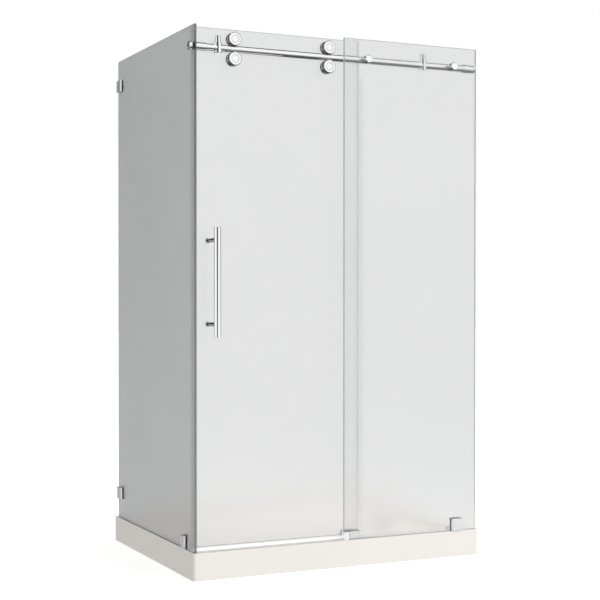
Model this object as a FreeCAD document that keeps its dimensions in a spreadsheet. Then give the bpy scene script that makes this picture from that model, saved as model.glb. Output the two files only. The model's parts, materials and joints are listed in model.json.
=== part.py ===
import FreeCAD, Part
import os
from types import SimpleNamespace

import Sketcher

# Shower enclosure with a sliding door on a rectangular tray, in millimetres.
# Frame: +X to the right seen from the door side, +Y into the corner, +Z up.
# The origin is the centre of the tray's footprint, on the floor.

SIZES = {
    # tray
    "tray_length": 1200.0,
    "tray_width": 900.0,
    "tray_height": 100.0,
    "tray_corner_radius": 10.0,
    "tray_edge_radius": 2.5,
    "tray_skirt": 8.0,
    "tray_rim_width": 70.0,
    "tray_rim_thickness": 12.0,
    "basin_wall": 8.0,
    "basin_depth": 34.0,
    "basin_draft": 8.0,
    "basin_corner_radius": 60.0,
    "basin_edge_radius": 6.0,
    "basin_floor_thickness": 10.0,
    "fall_depth": 8.0,
    "fall_margin": 30.0,
    "fall_drain_half": 66.0,
    "rib_thickness": 8.0,
    "rib_centre_pad": 90.0,
    "rib_pad_thickness": 6.0,
    "rib_collar_radius": 70.0,
    # drain
    "drain_inset": 180.0,
    "drain_recess": 5.0,
    "drain_flange_radius": 54.5,
    "drain_flange_thickness": 3.0,
    "drain_tail_radius": 42.0,
    "drain_floor_gap": 6.0,
    "drain_bowl_radius": 37.0,
    "drain_pipe_radius": 30.3,
    "drain_socket_length": 22.0,
    "drain_gasket_thickness": 3.0,
    "drain_nut_radius": 55.0,
    "drain_nut_height": 9.0,
    "strainer_thickness": 2.0,
    "strainer_hole_radius": 4.0,
    "strainer_screw_circle": 39.7,
    # glass
    "glass_thickness": 10.0,
    "glass_inset": 3.0,
    "glass_chamfer": 1.0,
    "panel_height": 1880.0,
    "fixed_panel_width": 582.0,
    "right_wall_inset": 10.0,
    "rear_wall_inset": 42.0,
    "fixed_wall_gap": 2.5,
    "side_wall_gap": 2.5,
    "notch_width": 22.5,
    "notch_height": 30.0,
    # door
    "panel_gap": 36.0,
    "door_overlap": 82.5,
    "door_side_gap": 7.0,
    "door_floor_gap": 12.0,
    "seal_wall": 1.5,
    "seal_leg": 10.0,
    "seal_gap": 0.4,
    # rail
    "rail_diameter": 24.0,
    "rail_wall": 2.0,
    "rail_drop": 74.0,
    "rail_standoff": 17.5,
    "rail_fit": 0.1,
    "socket_diameter": 28.0,
    "socket_length": 46.0,
    "socket_base": 9.0,
    "socket_cap_diameter": 32.0,
    "socket_cap_proud": 11.0,
    "bracket_length": 46.0,
    "bracket_lip_diameter": 32.0,
    "bracket_lip_length": 12.0,
    "wall_screw_radius": 2.75,
    "gasket_thickness": 1.0,
    "stud_radius": 4.0,
    "stud_fit": 0.1,
    "grub_radius": 2.5,
    "hardware_hole_radius": 8.0,
    # connectors between the rail and the fixed panel
    "connector_left_inset": 98.0,
    "connector_right_inset": 106.0,
    "connector_diameter": 30.0,
    "connector_proud": 16.0,
    "saddle_radius": 9.0,
    # rail stops
    "stop_left_inset": 92.7,
    "stop_right_inset": 229.4,
    "stop_diameter": 27.0,
    "stop_height": 39.0,
    "stop_post_diameter": 20.0,
    "stop_post_height": 23.0,
    # rollers
    "roller_diameter": 50.0,
    "roller_tread_depth": 1.8,
    "roller_rail_clearance": 0.3,
    "roller_front_gap": 2.0,
    "roller_left_inset": 148.0,
    "roller_pitch": 382.0,
    "roller_bevel": 2.5,
    "roller_web": 10.5,
    "axle_radius": 5.0,
    "axle_fit": 0.05,
    "axle_head_radius": 14.0,
    "axle_head_thickness": 3.0,
    "bearing_radius": 13.0,
    "bearing_width": 8.0,
    "bearing_race": 2.0,
    "back_nut_radius": 15.0,
    "back_nut_thickness": 8.0,
    # handle
    "handle_inset": 63.0,
    "handle_height": 952.0,
    "handle_length": 392.0,
    "handle_diameter": 25.0,
    "handle_wall": 1.5,
    "handle_standoff": 70.0,
    "handle_post_pitch": 302.0,
    "handle_post_diameter": 15.0,
    "handle_nut_radius": 12.5,
    # glass clamps
    "clamp_width": 48.0,
    "clamp_height": 48.5,
    "side_floor_clamp_width": 38.0,
    "front_clamp_proud": 11.0,
    "side_clamp_proud": 7.0,
    "clamp_plate": 8.0,
    "clamp_foot_length": 28.0,
    "clamp_foot_thickness": 6.0,
    "clamp_edge_radius": 1.5,
    "clamp_screw_radius": 3.0,
    "clamp_screw_height": 27.0,
    "front_clamp_inset": 87.0,
    "side_clamp_inset": 105.0,
    "wall_clamp_inset": 103.0,
    "foot_screw_radius": 2.5,
    "foot_screw_length": 18.0,
    # guide and threshold
    "guide_left_inset": 12.5,
    "guide_length": 62.0,
    "guide_height": 30.0,
    "guide_slot_floor": 10.0,
    "guide_slot_clearance": 0.5,
    "guide_inner_wall": 8.0,
    "guide_screw_pitch": 34.0,
    "threshold_width": 24.0,
    "threshold_height": 9.0,
    "threshold_radius": 5.0,
}


RIB_BAYS_LONG = 8
RIB_BAYS_WIDE = 6


class Length:
    """A length that carries both its spreadsheet formula and its present value."""

    def __init__(self, formula, value):
        self.formula = formula
        self.value = value

    def joined(self, other, sign, value):
        return Length("(%s %s %s)" % (self.formula, sign, formula_of(other)), value)

    def __add__(self, other):
        return self.joined(other, "+", self.value + value_of(other))

    def __sub__(self, other):
        return self.joined(other, "-", self.value - value_of(other))

    def __mul__(self, other):
        return self.joined(other, "*", self.value * value_of(other))

    def __truediv__(self, other):
        return self.joined(other, "/", self.value / value_of(other))

    def __neg__(self):
        return Length("(-1 * %s)" % self.formula, -self.value)

    def __radd__(self, other):
        return self + other

    def __rsub__(self, other):
        return -self + other


def value_of(size):
    return size.value if isinstance(size, Length) else float(size)


def formula_of(size):
    return size.formula if isinstance(size, Length) else repr(float(size))


doc = FreeCAD.newDocument("shower_enclosure")
sheet = doc.addObject("Spreadsheet::Sheet", "Sizes")
for row, (alias, number) in enumerate(SIZES.items(), start=1):
    sheet.set("A%d" % row, alias)
    sheet.set("B%d" % row, str(number))
    sheet.setAlias("B%d" % row, alias)
doc.recompute()

size = SimpleNamespace(**{alias: Length("Sizes." + alias, number) for alias, number in SIZES.items()})
nodes = []

# --- shared planes and axes, all from the sheet ---

LEFT = -size.tray_length / 2
RIGHT = size.tray_length / 2
FRONT = -size.tray_width / 2
RIM_TOP = size.tray_height
RIGHT_WALL = RIGHT - size.right_wall_inset
REAR_WALL = size.tray_width / 2 - size.rear_wall_inset

SIDE_OUTER = LEFT + size.glass_inset
SIDE_INNER = SIDE_OUTER + size.glass_thickness
GLASS_FRONT = FRONT + size.glass_inset
GLASS_BACK = GLASS_FRONT + size.glass_thickness
SIDE_PANEL_WIDTH = REAR_WALL - size.side_wall_gap - GLASS_FRONT
FIXED_LEFT = RIGHT_WALL - size.fixed_wall_gap - size.fixed_panel_width
GLASS_TOP = RIM_TOP + size.panel_height

DOOR_FRONT = GLASS_BACK + size.panel_gap
DOOR_BACK = DOOR_FRONT + size.glass_thickness
DOOR_LEFT = SIDE_INNER + size.door_side_gap
DOOR_WIDTH = FIXED_LEFT + size.door_overlap - DOOR_LEFT
DOOR_BOTTOM = RIM_TOP + size.door_floor_gap
DOOR_HEIGHT = size.panel_height - size.door_floor_gap

RAIL_Y = GLASS_BACK + size.rail_standoff
RAIL_Z = GLASS_TOP - size.rail_drop
RAIL_RADIUS = size.rail_diameter / 2
ROLLER_RADIUS = size.roller_diameter / 2
ROLLER_OFFSET = RAIL_RADIUS + size.roller_rail_clearance + ROLLER_RADIUS - size.roller_tread_depth

FLOOR_UNDERSIDE = RIM_TOP - size.basin_depth - size.fall_depth - size.basin_floor_thickness
DRAIN_X = RIGHT - size.drain_inset
DRAIN_SEAT = RIM_TOP - size.basin_depth - size.fall_depth - size.drain_recess

UPRIGHT = FreeCAD.Rotation()
TO_FRONT = FreeCAD.Rotation(FreeCAD.Vector(1, 0, 0), 90)
TO_BACK = FreeCAD.Rotation(FreeCAD.Vector(1, 0, 0), -90)
TO_RIGHT = FreeCAD.Rotation(FreeCAD.Vector(0, 1, 0), 90)
TO_LEFT = FreeCAD.Rotation(FreeCAD.Vector(0, 1, 0), -90)
DOWNWARD = FreeCAD.Rotation(FreeCAD.Vector(1, 0, 0), 180)


# --- drawing helpers ---

def bind(thing, path, amount):
    """Set a property from the sheet, or to a plain number."""
    if isinstance(amount, Length):
        thing.setExpression(path, amount.formula)
    else:
        thing.setExpression(path, formula_of(amount))


def place(thing, x, y, z, rotation=UPRIGHT):
    thing.Placement = FreeCAD.Placement(FreeCAD.Vector(value_of(x), value_of(y), value_of(z)), rotation)
    bind(thing, "Placement.Base.x", x)
    bind(thing, "Placement.Base.y", y)
    bind(thing, "Placement.Base.z", z)


def new_body(label):
    body = doc.addObject("PartDesign::Body", label)
    body.Label = label
    return body


def new_sketch(body, plane_role, offset=None):
    """A sketch on one of the body's own origin planes, moved along the plane's normal."""
    sketch = body.newObject("Sketcher::SketchObject", "Sketch")
    plane = next(item for item in body.Origin.OriginFeatures if item.Role == plane_role)
    sketch.AttachmentSupport = [(plane, "")]
    sketch.MapMode = "FlatFace"
    if offset is not None:
        bind(sketch, "AttachmentOffset.Base.z", offset)
    return sketch


def fix_point(sketch, geometry, point, x, y):
    """Hold a point of the sketch at x, y from the sketch's origin."""
    for kind, amount, axis in (("DistanceX", x, -2), ("DistanceY", y, -1)):
        if not isinstance(amount, Length) and amount == 0:
            sketch.addConstraint(Sketcher.Constraint("PointOnObject", geometry, point, axis))
            continue
        constraint = Sketcher.Constraint(kind, -1, 1, geometry, point, value_of(amount))
        index = sketch.addConstraint(constraint)
        bind(sketch, "Constraints[%d]" % index, amount)


def draw_outline(sketch, points):
    """A closed outline of straight lines through the points."""
    corners = [FreeCAD.Vector(value_of(x), value_of(y), 0) for x, y in points]
    first = sketch.GeometryCount
    count = len(corners)
    for index in range(count):
        sketch.addGeometry(Part.LineSegment(corners[index], corners[(index + 1) % count]), False)
    for index in range(count):
        following = first + (index + 1) % count
        sketch.addConstraint(Sketcher.Constraint("Coincident", first + index, 2, following, 1))
    for index, (x, y) in enumerate(points):
        fix_point(sketch, first + index, 1, x, y)


def draw_rectangle(sketch, x_low, y_low, x_high, y_high):
    draw_outline(sketch, [(x_low, y_low), (x_high, y_low), (x_high, y_high), (x_low, y_high)])


def draw_circle(sketch, x, y, radius):
    centre = FreeCAD.Vector(value_of(x), value_of(y), 0)
    geometry = sketch.addGeometry(Part.Circle(centre, FreeCAD.Vector(0, 0, 1), value_of(radius)), False)
    fix_point(sketch, geometry, 3, x, y)
    index = sketch.addConstraint(Sketcher.Constraint("Radius", geometry, value_of(radius)))
    bind(sketch, "Constraints[%d]" % index, radius)


def pad(body, sketch, length, backwards=False, symmetric=False):
    feature = body.newObject("PartDesign::Pad", "Pad")
    feature.Profile = sketch
    feature.Reversed = backwards
    feature.SideType = "Symmetric" if symmetric else "One side"
    bind(feature, "Length", length)
    doc.recompute()
    return feature


def pocket(body, sketch, depth=None, backwards=False, taper=None):
    """A cut of the given depth, or right through on both sides when no depth is given."""
    before = body.Shape.Volume
    feature = body.newObject("PartDesign::Pocket", "Pocket")
    feature.Profile = sketch
    feature.Reversed = backwards
    if depth is None:
        feature.Type = "ThroughAll"
        feature.SideType = "Symmetric"
    else:
        bind(feature, "Length", depth)
    if taper is not None:
        bind(feature, "TaperAngle", taper)
    doc.recompute()
    check_cut(body, before)
    return feature


def check_cut(body, before):
    if not body.Shape.Volume < before:
        raise RuntimeError("a cut in %s removed nothing" % body.Label)


def revolve(body, sketch, axis="V_Axis"):
    feature = body.newObject("PartDesign::Revolution", "Revolution")
    feature.Profile = sketch
    feature.ReferenceAxis = (sketch, [axis])
    feature.Angle = 360
    doc.recompute()
    return feature


def groove(body, sketch):
    before = body.Shape.Volume
    feature = body.newObject("PartDesign::Groove", "Groove")
    feature.Profile = sketch
    feature.ReferenceAxis = (sketch, ["V_Axis"])
    feature.Angle = 360
    doc.recompute()
    check_cut(body, before)
    return feature


def edges_where(body, test):
    shape = body.Tip.Shape
    return ["Edge%d" % number for number, edge in enumerate(shape.Edges, start=1) if test(edge)]


def dress(body, kind, names, amount):
    """A fillet or chamfer on the named edges of the body's last feature."""
    feature = body.newObject("PartDesign::" + kind, kind)
    feature.Base = (feature.BaseFeature, names)
    bind(feature, "Radius" if kind == "Fillet" else "Size", amount)
    doc.recompute()
    return feature


def is_line(edge):
    return isinstance(edge.Curve, Part.Line)


def near(number, amount, tolerance=0.01):
    return abs(number - value_of(amount)) < tolerance


def along_z(edge):
    box = edge.BoundBox
    return is_line(edge) and box.XLength < 0.01 and box.YLength < 0.01


def at_height(edge, height):
    box = edge.BoundBox
    return near(box.ZMin, height) and near(box.ZMax, height)


def turned(label, profile, x, y, z, rotation=UPRIGHT):
    """A piece turned about its own Z axis from (radius, height) points, then placed."""
    body = new_body(label)
    sketch = new_sketch(body, "XZ_Plane")
    draw_outline(sketch, profile)
    revolve(body, sketch)
    place(body, x, y, z, rotation)
    return body


def block(label, x_size, y_size, z_size, x, y, z):
    box = doc.addObject("Part::Box", label)
    box.Label = label
    bind(box, "Length", x_size)
    bind(box, "Width", y_size)
    bind(box, "Height", z_size)
    place(box, x, y, z)
    return box


def node(item):
    nodes.append(item)
    return item


def group(label, members):
    """Identical pieces that share one node, as separate solids."""
    compound = doc.addObject("Part::Compound", label)
    compound.Label = label
    compound.Links = members
    nodes.append(compound)
    return compound


def ring_profile(inner, outer, low, high):
    return [(inner, low), (outer, low), (outer, high), (inner, high)]


# --- tray ---

def make_tray():
    body = new_body("shower_tray")
    outline = new_sketch(body, "XY_Plane")
    draw_rectangle(outline, LEFT, FRONT, RIGHT, -FRONT)
    pad(body, outline, size.tray_height)
    dress(body, "Fillet", edges_where(body, along_z), size.tray_corner_radius)

    basin_x = RIGHT - size.tray_rim_width
    basin_y = -FRONT - size.tray_rim_width
    basin = new_sketch(body, "XY_Plane", size.tray_height)
    draw_rectangle(basin, -basin_x, -basin_y, basin_x, basin_y)
    pocket(body, basin, size.basin_depth, taper=-size.basin_draft)

    def basin_corner(edge):
        box = edge.BoundBox
        inside = abs(box.Center.x) < value_of(basin_x) + 1 and abs(box.Center.y) < value_of(basin_y) + 1
        return inside and near(box.ZLength, size.basin_depth) and box.ZMax > value_of(size.tray_height) - 1
    dress(body, "Fillet", edges_where(body, basin_corner), size.basin_corner_radius)

    # the floor falls to the drain in four flat planes
    fall_top = new_sketch(body, "XY_Plane", size.tray_height - size.basin_depth)
    fall_x = basin_x - size.fall_margin
    fall_y = basin_y - size.fall_margin
    draw_rectangle(fall_top, -fall_x, -fall_y, fall_x, fall_y)
    fall_low = new_sketch(body, "XY_Plane", size.tray_height - size.basin_depth - size.fall_depth)
    half = size.fall_drain_half
    draw_rectangle(fall_low, DRAIN_X - half, -half, DRAIN_X + half, half)
    before = body.Shape.Volume
    fall = body.newObject("PartDesign::SubtractiveLoft", "Fall")
    fall.Profile = fall_top
    fall.Sections = [fall_low]
    fall.Ruled = True
    doc.recompute()
    check_cut(body, before)

    # hollow underside: under the basin floor, and higher up behind the skirt under the rim
    underside = new_sketch(body, "XY_Plane")
    skirt_x = RIGHT - size.tray_skirt
    skirt_y = -FRONT - size.tray_skirt
    draw_rectangle(underside, -skirt_x, -skirt_y, skirt_x, skirt_y)
    pocket(body, underside, FLOOR_UNDERSIDE, backwards=True)
    channel = new_sketch(body, "XY_Plane")
    draw_rectangle(channel, -skirt_x, -skirt_y, skirt_x, skirt_y)
    wall_x = basin_x + size.basin_wall
    wall_y = basin_y + size.basin_wall
    draw_rectangle(channel, -wall_x, -wall_y, wall_x, wall_y)
    pocket(body, channel, size.tray_height - size.tray_rim_thickness, backwards=True)

    recess = new_sketch(body, "XY_Plane", size.tray_height)
    draw_circle(recess, DRAIN_X, 0, size.drain_flange_radius + size.seal_gap)
    pocket(body, recess, size.tray_height - DRAIN_SEAT)
    outlet = new_sketch(body, "XY_Plane")
    draw_circle(outlet, DRAIN_X, 0, size.drain_tail_radius + size.seal_gap)
    pocket(body, outlet)

    # pilot holes for the screws of the two floor clamps and the door guide
    pilots = new_sketch(body, "XY_Plane", size.tray_height)
    for x, y in floor_screw_places():
        draw_circle(pilots, x, y, size.foot_screw_radius + size.stud_fit)
    pocket(body, pilots, size.tray_rim_thickness)

    def outer_top(edge):
        box = edge.BoundBox
        reach_x = max(abs(box.XMin), abs(box.XMax))
        reach_y = max(abs(box.YMin), abs(box.YMax))
        on_outline = near(reach_x, RIGHT) or near(reach_y, -FRONT)
        return at_height(edge, size.tray_height) and on_outline
    dress(body, "Fillet", edges_where(body, outer_top), size.tray_edge_radius)

    def basin_top(edge):
        box = edge.BoundBox
        reach_x = max(abs(box.XMin), abs(box.XMax))
        reach_y = max(abs(box.YMin), abs(box.YMax))
        on_basin = near(reach_x, basin_x) or near(reach_y, basin_y)
        return at_height(edge, size.tray_height) and on_basin
    dress(body, "Fillet", edges_where(body, basin_top), size.basin_edge_radius)
    node(body)


def make_rib_frame():
    body = new_body("tray_rib_frame")
    outer_x = RIGHT - size.tray_rim_width + size.basin_wall
    outer_y = -FRONT - size.tray_rim_width + size.basin_wall
    frame = new_sketch(body, "XY_Plane")
    draw_rectangle(frame, -outer_x, -outer_y, outer_x, outer_y)
    inner_x = outer_x - size.rib_thickness
    inner_y = outer_y - size.rib_thickness
    draw_rectangle(frame, -inner_x, -inner_y, inner_x, inner_y)
    pad(body, frame, FLOOR_UNDERSIDE)

    half = size.rib_thickness / 2
    for bays, reach, across in (
        (RIB_BAYS_LONG, outer_x, False),
        (RIB_BAYS_WIDE, outer_y, True),
    ):
        pitch = (reach - half) * 2 / bays
        start = -reach + half + pitch
        rib = new_sketch(body, "XY_Plane")
        if across:
            draw_rectangle(rib, -inner_x, start - half, inner_x, start + half)
        else:
            draw_rectangle(rib, start - half, -inner_y, start + half, inner_y)
        first_rib = pad(body, rib, FLOOR_UNDERSIDE)
        pattern = body.newObject("PartDesign::LinearPattern", "Ribs")
        pattern.Originals = [first_rib]
        pattern.Direction = (rib, ["V_Axis" if across else "H_Axis"])
        pattern.Mode = "Spacing"
        bind(pattern, "Offset", pitch)
        pattern.Occurrences = bays - 1
        body.Tip = pattern
        doc.recompute()

    collar = new_sketch(body, "XY_Plane")
    draw_circle(collar, DRAIN_X, 0, size.rib_collar_radius + size.rib_thickness)
    pad(body, collar, FLOOR_UNDERSIDE)
    bore = new_sketch(body, "XY_Plane")
    draw_circle(bore, DRAIN_X, 0, size.rib_collar_radius)
    pocket(body, bore)
    foot = new_sketch(body, "XY_Plane")
    reach = size.rib_centre_pad / 2
    draw_rectangle(foot, -reach, -reach, reach, reach)
    pad(body, foot, size.rib_pad_thickness)
    node(body)


# --- drain ---

def make_drain():
    tail_low = size.drain_floor_gap
    socket_top = tail_low + size.drain_socket_length
    flange_top = DRAIN_SEAT + size.drain_flange_thickness
    throat = size.drain_pipe_radius - size.drain_flange_thickness
    drain = turned("drain_body", [
        (size.drain_pipe_radius, tail_low),
        (size.drain_tail_radius, tail_low),
        (size.drain_tail_radius, DRAIN_SEAT),
        (size.drain_flange_radius, DRAIN_SEAT),
        (size.drain_flange_radius, flange_top),
        (size.drain_bowl_radius, flange_top),
        (size.drain_bowl_radius, DRAIN_SEAT - size.drain_recess),
        (throat, socket_top + size.drain_flange_thickness),
        (throat, socket_top),
        (size.drain_pipe_radius, socket_top),
    ], DRAIN_X, 0, 0)
    holes = new_sketch(drain, "XY_Plane", flange_top)
    for side in (-1, 1):
        draw_circle(holes, size.strainer_screw_circle * side, 0, size.rail_wall * 0.8)
    pocket(drain, holes, size.drain_flange_thickness + size.drain_recess)
    node(drain)

    gasket_low = FLOOR_UNDERSIDE - size.drain_gasket_thickness
    ring_inner = size.drain_tail_radius + size.rail_fit
    node(turned("drain_gasket",
                ring_profile(ring_inner, size.drain_flange_radius, gasket_low, FLOOR_UNDERSIDE),
                DRAIN_X, 0, 0))
    nut_low = gasket_low - size.drain_nut_height
    nut = turned("drain_lock_nut",
                 ring_profile(ring_inner, size.drain_nut_radius, nut_low, gasket_low),
                 DRAIN_X, 0, 0)
    notch = new_sketch(nut, "XY_Plane", gasket_low)
    half = size.drain_nut_height / 2
    draw_rectangle(notch, size.drain_nut_radius - half, -half,
                   size.drain_nut_radius + half, half)
    cut = pocket(nut, notch)
    pattern = nut.newObject("PartDesign::PolarPattern", "Notches")
    pattern.Originals = [cut]
    pattern.Axis = (notch, ["N_Axis"])
    pattern.Angle = 360
    pattern.Occurrences = 8
    nut.Tip = pattern
    doc.recompute()
    node(nut)

    strainer_top = flange_top + size.strainer_thickness
    strainer = turned("drain_strainer", [
        (0, flange_top),
        (size.drain_flange_radius, flange_top),
        (size.drain_flange_radius, strainer_top - size.strainer_thickness / 2),
        (size.drain_flange_radius - size.strainer_thickness / 2, strainer_top),
        (0, strainer_top),
    ], DRAIN_X, 0, 0)
    hole_step = size.strainer_hole_radius * 3
    for ring, copies in ((1, 6), (2, 12)):
        hole = new_sketch(strainer, "XY_Plane", strainer_top)
        draw_circle(hole, hole_step * ring + size.strainer_hole_radius, 0, size.strainer_hole_radius)
        cut = pocket(strainer, hole)
        pattern = strainer.newObject("PartDesign::PolarPattern", "Holes")
        pattern.Originals = [cut]
        pattern.Axis = (hole, ["N_Axis"])
        pattern.Angle = 360
        pattern.Occurrences = copies
        strainer.Tip = pattern
        doc.recompute()
    screw_holes = new_sketch(strainer, "XY_Plane", strainer_top)
    for side in (-1, 1):
        draw_circle(screw_holes, size.strainer_screw_circle * side, 0, size.rail_wall * 0.8)
    pocket(strainer, screw_holes)
    node(strainer)

    shank = size.rail_wall * 0.75
    screws = []
    for side in (-1, 1):
        screws.append(turned("drain_screw", [
            (0, -size.drain_recess),
            (shank, -size.drain_recess),
            (shank, size.strainer_thickness),
            (shank * 2, size.strainer_thickness),
            (shank * 1.6, size.strainer_thickness + shank),
            (0, size.strainer_thickness + shank),
        ], DRAIN_X + size.strainer_screw_circle * side, 0, flange_top))
    group("drain_screws", screws)


# --- glass panels ---

def glass_panel(label, plane_role, outline, holes, x, y, z):
    """A pane from its outline and (place, height, radius) holes, with ground edges."""
    body = new_body(label)
    sketch = new_sketch(body, plane_role)
    draw_outline(sketch, outline)
    pad(body, sketch, size.glass_thickness, backwards=plane_role == "XZ_Plane")

    def on_face(edge):
        box = edge.BoundBox
        thick = box.YLength if plane_role == "XZ_Plane" else box.XLength
        return thick < 0.01
    dress(body, "Chamfer", edges_where(body, on_face), size.glass_chamfer)
    drilled = new_sketch(body, plane_role)
    for across, up, radius in holes:
        draw_circle(drilled, across, up, radius)
    pocket(body, drilled)
    place(body, x, y, z)
    node(body)
    return body


def make_panels():
    clamp_hole = size.hardware_hole_radius - 1
    wall_hole = SIDE_PANEL_WIDTH + size.side_wall_gap - size.clamp_screw_height
    glass_panel(
        "side_panel", "YZ_Plane",
        [(0, 0), (SIDE_PANEL_WIDTH, 0), (SIDE_PANEL_WIDTH, size.panel_height), (0, size.panel_height)],
        [
            (RAIL_Y - GLASS_FRONT, size.panel_height - size.rail_drop, size.hardware_hole_radius),
            (size.side_clamp_inset, size.clamp_screw_height, clamp_hole),
            (wall_hole, size.wall_clamp_inset, clamp_hole),
            (wall_hole, size.panel_height - size.wall_clamp_inset, clamp_hole),
        ],
        SIDE_OUTER, GLASS_FRONT, RIM_TOP)
    width = size.fixed_panel_width
    rail_height = size.panel_height - size.rail_drop
    glass_panel(
        "fixed_panel", "XZ_Plane",
        [
            (size.notch_width, 0), (width, 0), (width, size.panel_height), (0, size.panel_height),
            (0, size.notch_height), (size.notch_width, size.notch_height),
        ],
        [
            (size.connector_left_inset, rail_height, size.hardware_hole_radius),
            (width - size.connector_right_inset, rail_height, size.hardware_hole_radius),
            (width - size.front_clamp_inset, size.clamp_screw_height, clamp_hole),
        ],
        FIXED_LEFT, GLASS_FRONT, RIM_TOP)
    holes = []
    for x in (size.roller_left_inset, size.roller_left_inset + size.roller_pitch):
        for side in (-1, 1):
            holes.append((x, RAIL_Z - DOOR_BOTTOM + ROLLER_OFFSET * side, size.hardware_hole_radius))
    for side in (-1, 1):
        post = size.handle_height + size.handle_post_pitch / 2 * side
        holes.append((size.handle_inset, post, size.stud_radius + 1))
    glass_panel(
        "door_panel", "XZ_Plane",
        [(0, 0), (DOOR_WIDTH, 0), (DOOR_WIDTH, DOOR_HEIGHT), (0, DOOR_HEIGHT)],
        holes, DOOR_LEFT, DOOR_FRONT, DOOR_BOTTOM)


def make_wall_seals():
    """Clear strips that close the slits between the panes and the walls."""
    node(block("side_wall_seal", size.glass_thickness, size.side_wall_gap, size.panel_height,
               SIDE_OUTER, REAR_WALL - size.side_wall_gap, RIM_TOP))
    node(block("fixed_wall_seal", size.fixed_wall_gap, size.glass_thickness, size.panel_height,
               RIGHT_WALL - size.fixed_wall_gap, GLASS_FRONT, RIM_TOP))


# --- glass clamps ---

def clamp_places():
    """Label, width, proud height, place and rotation of each clamp on its foot plane."""
    to_side = FreeCAD.Rotation(FreeCAD.Vector(0, 0, 1), 90)
    to_front = FreeCAD.Rotation(FreeCAD.Vector(0, 0, 1), 180)
    to_wall = FreeCAD.Rotation(FreeCAD.Vector(0, 0, 1), FreeCAD.Vector(-1, 0, 0),
                               FreeCAD.Vector(0, -1, 0), "XYZ")
    front_x = FIXED_LEFT + size.fixed_panel_width - size.front_clamp_inset
    side_y = GLASS_FRONT + size.side_clamp_inset
    low = RIM_TOP + size.wall_clamp_inset
    high = GLASS_TOP - size.wall_clamp_inset
    return [
        ("front_floor_clamp", size.clamp_width, size.front_clamp_proud, front_x, GLASS_FRONT, RIM_TOP,
         to_front),
        ("side_floor_clamp", size.side_floor_clamp_width, size.side_clamp_proud, SIDE_OUTER, side_y,
         RIM_TOP, to_side),
        ("lower_wall_clamp", size.clamp_width, size.side_clamp_proud, SIDE_OUTER, REAR_WALL, low,
         to_wall),
        ("upper_wall_clamp", size.clamp_width, size.side_clamp_proud, SIDE_OUTER, REAR_WALL, high,
         to_wall),
    ]


def clamp_foot_reach():
    """Distance from the glass's outer face to the screw hole in a clamp's foot."""
    return (size.glass_thickness + size.gasket_thickness + size.clamp_plate
            + size.clamp_foot_length / 2)


def floor_screw_places():
    front = clamp_places()[0]
    side = clamp_places()[1]
    guide_middle = FIXED_LEFT + size.guide_left_inset + size.guide_length / 2
    door_middle = DOOR_FRONT + size.glass_thickness / 2
    return [
        (front[3], front[4] + clamp_foot_reach()),
        (side[3] + clamp_foot_reach(), side[4]),
        (guide_middle - size.guide_screw_pitch / 2, door_middle),
        (guide_middle + size.guide_screw_pitch / 2, door_middle),
    ]


def clamp_cover(label, width, proud):
    body = new_body(label)
    plan = new_sketch(body, "XY_Plane")
    draw_rectangle(plan, -width / 2, size.gasket_thickness, width / 2, proud)
    pad(body, plan, size.clamp_height)

    def outside(edge):
        box = edge.BoundBox
        return box.YMax > value_of(proud) - 0.01
    dress(body, "Fillet", edges_where(body, outside), size.clamp_edge_radius)
    hole = new_sketch(body, "XZ_Plane", -size.gasket_thickness)
    draw_circle(hole, 0, size.clamp_screw_height, size.clamp_screw_radius + size.stud_fit)
    pocket(body, hole, proud / 2)
    return body


def clamp_bracket(label, width):
    body = new_body(label)
    face = -size.glass_thickness - size.gasket_thickness
    back = face - size.clamp_plate
    toe = back - size.clamp_foot_length
    side = new_sketch(body, "YZ_Plane")
    draw_outline(side, [
        (face, 0), (face, size.clamp_height), (back, size.clamp_height),
        (back, size.clamp_foot_thickness), (toe, size.clamp_foot_thickness), (toe, 0),
    ])
    pad(body, side, width, symmetric=True)

    def inner_corner(edge):
        box = edge.BoundBox
        return near(box.YMin, back) and near(box.YMax, back) and at_height(edge, size.clamp_foot_thickness)
    dress(body, "Fillet", edges_where(body, inner_corner), size.clamp_foot_thickness / 2)

    def toe_corner(edge):
        return along_z(edge) and near(edge.BoundBox.YMin, toe)
    dress(body, "Fillet", edges_where(body, toe_corner), size.clamp_foot_thickness)
    screw_hole = new_sketch(body, "XZ_Plane")
    draw_circle(screw_hole, 0, size.clamp_screw_height, size.clamp_screw_radius + size.stud_fit)
    pocket(body, screw_hole)
    foot_hole = new_sketch(body, "XY_Plane")
    draw_circle(foot_hole, 0, -clamp_foot_reach(), size.wall_screw_radius)
    pocket(body, foot_hole, size.clamp_foot_thickness, backwards=True)

    def sink(edge):
        return at_height(edge, size.clamp_foot_thickness) and not is_line(edge) and edge.isClosed()
    dress(body, "Chamfer", edges_where(body, sink), size.foot_screw_radius)
    return body


def clamp_gasket(width, outward):
    body = new_body("clamp_gasket")
    face = new_sketch(body, "XZ_Plane", 0 if outward else size.glass_thickness)
    margin = size.clamp_edge_radius
    draw_rectangle(face, -width / 2 + margin, margin, width / 2 - margin, size.clamp_height - margin)
    draw_circle(face, 0, size.clamp_screw_height, size.clamp_screw_radius + size.gasket_thickness)
    pad(body, face, size.gasket_thickness, backwards=outward)
    return body


def clamp_screw(proud):
    """Pan head screw through the glass, its head against the bracket's inner face."""
    seat = -size.glass_thickness - size.gasket_thickness - size.clamp_plate
    shank = size.clamp_screw_radius
    head = shank * 2
    end = size.gasket_thickness + proud / 2 - size.stud_fit * 5
    body = new_body("clamp_screw")
    half = new_sketch(body, "YZ_Plane")
    bind(half, "AttachmentOffset.Base.y", size.clamp_screw_height)
    draw_outline(half, [
        (end, 0), (end, shank), (seat, shank), (seat, head), (seat - shank, head * 0.8),
        (seat - shank, 0),
    ])
    revolve(body, half, "H_Axis")
    return body


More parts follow.
